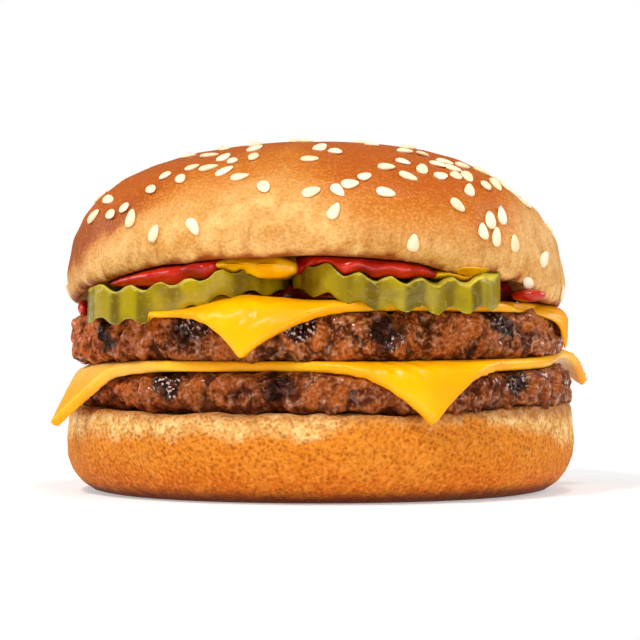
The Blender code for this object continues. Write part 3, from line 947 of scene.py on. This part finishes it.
beef = {
    "grain": 0.42, "softening": 4, "kept": 0.6,
    "lumpSize": 3.0, "lumpHeight": 1.5, "crumbSize": 1.25, "crumbHeight": 0.8,
    "wander": 0.6, "wanderSize": 11, "charBulge": 0.5, "rimRise": 1.7, "rimSag": 2.4,
    # how far the right ends stand back
    "lowerTuck": 2.0, "upperTuck": 0.9,
    # azimuth, height share, half width and half height in mm
    "upperChar": [(-146, 0.6, 3.2, 3.4), (-119, 0.66, 4.2, 3.0), (-94, 0.6, 3.2, 2.6), (-75, 0.56, 4.4, 3.2),
                  (-45, 0.74, 4.4, 2.6), (16, 0.6, 3.2, 2.6), (41, 0.4, 4.8, 3.2), (79, 0.6, 3.4, 2.4),
                  (101, 0.4, 5.2, 3), (138, 0.66, 4, 2.8), (166, 0.4, 3.4, 3)],
    "lowerChar": [(-168, 0.4, 2.4, 2.2), (-128, 0.58, 3.8, 3.0), (-101, 0.5, 3.6, 2.4), (-45, 0.62, 3.6, 2.8),
                  (14, 0.5, 3.5, 2.2), (34, 0.6, 4.6, 2.6), (66, 0.4, 3.2, 2.2), (91, 0.6, 4.8, 3),
                  (127, 0.5, 3.4, 2.2), (151, 0.6, 4.6, 2.8)],
}


def fryPatty(name, node, spots, tuck, seed, *neighbours):
    obj = evenSkin(name, node, beef)
    points, normals = readPoints(obj)
    middle = (points.min(axis=0) + points.max(axis=0)) / 2
    bearing = azimuthOf(points - middle)
    radius = np.linalg.norm((points - middle)[:, :2], axis=1)
    z = points[:, 2]
    thick = z.max() - z.min()
    share = (z - z.min()) / thick
    side = ease((1 - np.abs(normals[:, 2])) * 2.2)

    char = np.zeros(len(points))
    for angle, at, wide, tall in spots:
        across = np.radians(turned(bearing, angle)) * radius / wide
        along = (share - at) * thick / tall
        char = np.maximum(char, np.exp(-(across ** 2 + along ** 2) ** 1.5))
    char *= ease((radius - 38) / 5)
    ragged = cloud(points, 2.2, seed + 1) * 0.35 + cloud(points, 1.0, seed + 2) * 0.2
    burnt = ease((char + ragged * char ** 0.3 - 0.35) * 2.6)

    near, own = crumbs(warped(points, 4, 1.2, seed + 3), beef["lumpSize"], seed + 6)
    fineNear = crumbs(warped(points, 2, 0.5, seed + 7), beef["crumbSize"], seed + 10)[0]
    lump = np.clip(1 - near ** 2 * 1.3, 0, 1) * (0.6 + 0.8 * own)
    crumb = np.clip(1 - fineNear ** 2 * 1.4, 0, 1)
    lift = beef["lumpHeight"] * (lump - 0.55) + beef["crumbHeight"] * (crumb - 0.5)
    lift += wobble(points, beef, "wander", seed + 13)
    lift += beef["charBulge"] * burnt * (0.4 + cloud(points, 2.0, seed + 14))
    lift *= 0.12 + 0.88 * side
    moved = points + normals * lift[:, None]
    # crumbly lips above and below, where nothing lies in the way
    rim = ease((radius - 41) / 4) * (0.55 + 0.6 * cloud(points, 3.0, seed + 15))
    risen = beef["rimRise"] * ease((share - 0.55) / 0.4)
    sagged = beef["rimSag"] * ease((0.4 - share) / 0.35)
    moved[:, 2] += rim * (risen - sagged)
    moved[:, 0] -= tuck * ease((points[:, 0] - 40) / 10)
    writePoints(obj, heldBack(points, moved, treeOf(*neighbours)))
    # painted shade in the crevices between lumps and crumbs
    store(obj, "hollow", 1 - np.clip(0.5 * lump + 0.5 * crumb, 0, 1))
    store(obj, "char", burnt)
    store(obj, "own", own)
    store(obj, "share", share)
    thinned(obj, beef["kept"])
    return obj


def beefFinish():
    meat = Finish("griddledBeef")
    x, z = meat.axes()[::2]
    char = meat.stored("char")
    wide = meat.noise(8, 2)
    middle = meat.noise(3, 2)
    fine = meat.noise(1.5)
    tiny = meat.noise(0.62, 0)
    lumps = meat.step(middle + (meat.stored("own") - 0.5) * 0.3, 0.34, 0.66)
    # painted shade towards the bottom of each patty
    lower = meat.stored("share") + (middle - 0.5) * 0.6
    burnt = meat.mix(meat.step(fine, 0.46, 0.64), shade(14, 3, 2), shade(66, 17, 9))
    colour = meat.layered(
        meat.mix(lumps, shade(84, 32, 8), shade(172, 88, 34)),
        (meat.step(wide, 0.48, 0.64) * 0.6, shade(172, 92, 34)),
        (meat.step(wide, 0.47, 0.34) * 0.55, shade(74, 26, 10)),
        (meat.step(fine, 0.50, 0.70) * 0.5, shade(188, 118, 66)),
        (meat.step(tiny, 0.48, 0.26) * 0.5, shade(60, 20, 6)),
        (meat.step(tiny, 0.54, 0.74) * 0.35, shade(214, 148, 100)),
        # painted shade in the crevices
        (meat.step(meat.stored("hollow"), 0.40, 0.85) * 0.8, shade(40, 12, 4)),
        # painted shade towards the bottom
        (meat.step(lower, 0.26, 0.0) * 0.7, shade(50, 18, 6)),
        # painted shade makes the lower patty the darker, and painted warm light makes both redder and lighter
        # at the left
        (meat.step(z, 25.5, 23) * 0.25, shade(92, 34, 20)),
        (meat.step(x, -24, -40) * meat.step(fine, 0.38, 0.58) * 0.5, shade(204, 96, 44)),
        # char, with pale specks painted on it as glints of light off the fat
        (char * 0.98, burnt),
        (meat.step(tiny, 0.60, 0.68) * meat.step(wide, 0.42, 0.56) * char * 0.65, shade(226, 204, 196)))
    grease = meat.step(fine + 0.05 * char, 0.56, 0.61)
    return meat.surface(colour, meat.relief((fine, 0.5), (tiny, 0.3)), rough=0.5 - 0.32 * grease - 0.1 * char,
                        specular=0.18, tint=shade(255, 190, 150), below=(0.04, (1.0, 0.35, 0.2), 0.001),
                        coat=(0.8 * grease * (1 - 0.55 * char), 0.08))


beefSkin = beefFinish()
lowerBeef = fryPatty("lowerBeef", "lower_patty", beef["lowerChar"], beef["lowerTuck"], 100,
                     heel, lowerSlice, solids["upper_patty"])
place(lowerBeef, beefSkin, "beef", "lower_patty")
upperBeef = fryPatty("upperBeef", "upper_patty", beef["upperChar"], beef["upperTuck"], 200,
                     lowerBeef, lowerSlice, upperSlice, leftChip, rightChip, crown)
place(upperBeef, beefSkin, "beef", "upper_patty")
print("beef done:", len(lowerBeef.data.polygons), len(upperBeef.data.polygons), "faces")


sauce = {
    "grain": 0.45, "softening": 6, "kept": 0.7, "leastFaces": 150, "ripple": 0.3, "rippleSize": 4,
    "room": 0.1, "pressedBeyond": 32, "pressedAbove": 36,
    # azimuths from and to, farthest and least reach, and how low it may sag where no chip is under it
    "leftKetchup": (-150, -110, 47.6, 40, 38.5), "rightKetchup": (-98, -60, 46.4, 40.5, 39.5), "edge": 0.2,
    "leftMustard": (-117, -95, 47.4, 42.5, 39.6), "rightMustard": (-64, -46, 46.6, 40, 39),
    # how the rows of points in these layers are spaced, from the middle outwards
    "rows": [26, 30, 34, 37, 39.5, 41.5, 43, 44.2, 45.2, 46],
    # azimuths from and to and farthest reach, how far back from the edge of the chips, and how thick at most
    "underChips": (-150, 8, 42.6), "standBack": 1.8, "thickest": 3.2,
    # beyond this azimuth its reach is fixed
    "openFrom": -46, "openReach": 38.5,
    # centre and half sizes of the blobs at the sides
    "blobs": [((38.4, -25.5, 37.2), (3.4, 2.6, 1.2)), ((-44.9, -9, 35.1), (1.4, 3.4, 1.7))],
}


def chipEdge(across, ahead, outer, edge):
    # how far out the chips reach in one direction, less a margin
    reach = outer
    while reach > 30 and firstHit(chipTree, reach * across, reach * ahead, 60, False) is None:
        reach -= 0.3
    return min(outer, reach - edge)


def overChips(start, end, outer, least, sag):
    # a closed layer between the chips and the crown
    roof, ground = treeOf(crown), treeOf(leftChip, rightChip, upperSlice)
    angles = np.arange(start, end + 0.1, 1.5)
    reaches = np.array(sauce["rows"]) / sauce["rows"][-1] * outer
    spots = []
    for angle in angles:
        taper = ease(min(angle - start, end - angle) / 6) * 0.9 + 0.1
        across, ahead = heading(angle)
        # the layer stays just behind the edge of the chip, or at its least reach
        limit = max(least, chipEdge(across, ahead, outer, sauce["edge"]))
        for number, reach in enumerate(reaches * limit / outer):
            out = reach - (1 - taper) * 2.5 * number / len(reaches)
            x, y = out * across, out * ahead
            high = firstHit(roof, x, y, 25, True) or 48
            low = max(firstHit(ground, x, y, high - 0.02, False) or sag, sag)
            high -= sauce["room"]
            low += sauce["room"]
            middle = (high + low) / 2
            full = math.sqrt(max(0.0, 1 - (number / (len(reaches) - 1)) ** 8)) * taper ** 0.5
            half = max(0.28, (high - low) / 2 * full)
            spots.append((x, y, middle, half))
    return layer(spots, len(angles), len(reaches))


def underChips(start, end, outer):
    # a closed layer between the slice and whatever is above it
    roof, ground = treeOf(crown, leftChip, rightChip), treeOf(upperSlice)
    angles = np.arange(start, end + 0.1, 2)
    spots = []
    for angle in angles:
        across, ahead = heading(angle)
        limit = sauce["openReach"]
        if angle <= sauce["openFrom"]:
            limit = max(32, chipEdge(across, ahead, outer + sauce["standBack"], sauce["standBack"]))
        reaches = np.linspace(12, min(limit, outer), 12)
        for reach in reaches:
            x, y = reach * across, reach * ahead
            low = firstHit(ground, x, y, 60, False) or 36
            high = firstHit(roof, x, y, low + 0.05, True)
            high = low + 1 if high is None else min(high, low + sauce["thickest"])
            middle = (high + low) / 2
            half = max(0.1, (high - low) / 2 - sauce["room"])
            spots.append((x, y, middle, half))
    return layer(spots, len(angles), len(reaches))


def layer(spots, rows, columns):
    # a closed sheet that reaches half a thickness above and below each spot
    count = len(spots)
    faces = []
    for row in range(rows - 1):
        for column in range(columns - 1):
            a = row * columns + column
            b, c, d = a + 1, a + columns + 1, a + columns
            faces.append((a, b, c, d))
            faces.append((a + count, d + count, c + count, b + count))
    border = list(range(columns))
    border += [row * columns + columns - 1 for row in range(1, rows)]
    border += [(rows - 1) * columns + column for column in range(columns - 2, -1, -1)]
    border += [row * columns for row in range(rows - 2, 0, -1)]
    for first, second in zip(border, border[1:] + border[:1]):
        faces.append((second, first, first + count, second + count))
    points = [(x * mm, y * mm, (middle + way * half) * mm) for way in (1, -1) for x, y, middle, half in spots]
    return addMesh("layer", points, faces)


def blob(centre, half):
    made = bmesh.new()
    bmesh.ops.create_icosphere(made, subdivisions=3, radius=1)
    made.verts.index_update()
    points = [[(vert.co[axis] * half[axis] + centre[axis]) * mm for axis in range(3)] for vert in made.verts]
    faces = [[vert.index for vert in face.verts] for face in made.faces]
    made.free()
    return addMesh("blob", points, faces)


def pourSauce(name, node, extra, seed):
    obj = evenSkin(name, node, sauce, extra)
    points, normals = readPoints(obj)
    lift = wobble(points, sauce, "ripple", seed)
    side = ease((1 - np.abs(normals[:, 2])) * 2.5)
    points = points + normals * (lift * (0.2 + 0.8 * side))[:, None]
    # the drooping rim of the crown presses the sauce down
    pressed = (reachOf(points) > sauce["pressedBeyond"]) & (points[:, 2] > sauce["pressedAbove"])
    keepUnder(points, pressed, treeOf(crown), 25, sauce["room"])
    writePoints(obj, points)
    thinned(obj, sauce["kept"])
    dropLoose(obj, sauce["leastFaces"])
    return obj


def sauceFinish(name, deep, bright, buried, reach):
    wet = Finish(name)
    x, y, z = wet.axes()
    wide = wet.noise(5)
    colour = wet.mix(wet.step(wide, 0.35, 0.68), deep, bright)
    # painted shade: darker where it lies under the chips
    under = wet.step((x * x + y * y) ** 0.5, 44, 42.5) * wet.step(z, 39.4, 37.4)
    colour = wet.mix(under * 0.85, colour, buried)
    relief = wet.relief((wet.noise(2.4, 0), 0.45), (wet.noise(0.8, 0), 0.05))
    return wet.surface(colour, relief, rough=0.24, specular=0.35,
                       below=(0.12, (1.0, 0.2, 0.1), reach), coat=(0.15, 0.05))


red = [overChips(*sauce["leftKetchup"]), overChips(*sauce["rightKetchup"]), underChips(*sauce["underChips"])]
red += [blob(centre, half) for centre, half in sauce["blobs"]]
ketchupPool = pourSauce("ketchupPool", "ketchup", red, 500)
# the third colour is the ketchup's painted shade under the chips
place(ketchupPool, sauceFinish("ketchup", shade(150, 13, 3), shade(200, 36, 9), shade(62, 5, 3), 0.001),
      "ketchup", "ketchup")
# the third colour is the mustard's painted shade under the chips
mustardSkin = sauceFinish("mustard", shade(238, 172, 0), shade(252, 204, 0), shade(200, 130, 0), 0.0015)
leftMustard = pourSauce("mustardLeftDollop", "mustard_left", [overChips(*sauce["leftMustard"])], 510)
place(leftMustard, mustardSkin, "mustard", "mustard_left")
rightMustard = pourSauce("mustardRightDollop", "mustard_right", [overChips(*sauce["rightMustard"])], 520)
place(rightMustard, mustardSkin, "mustard", "mustard_right")
print("sauces done:", len(ketchupPool.data.polygons), "faces")
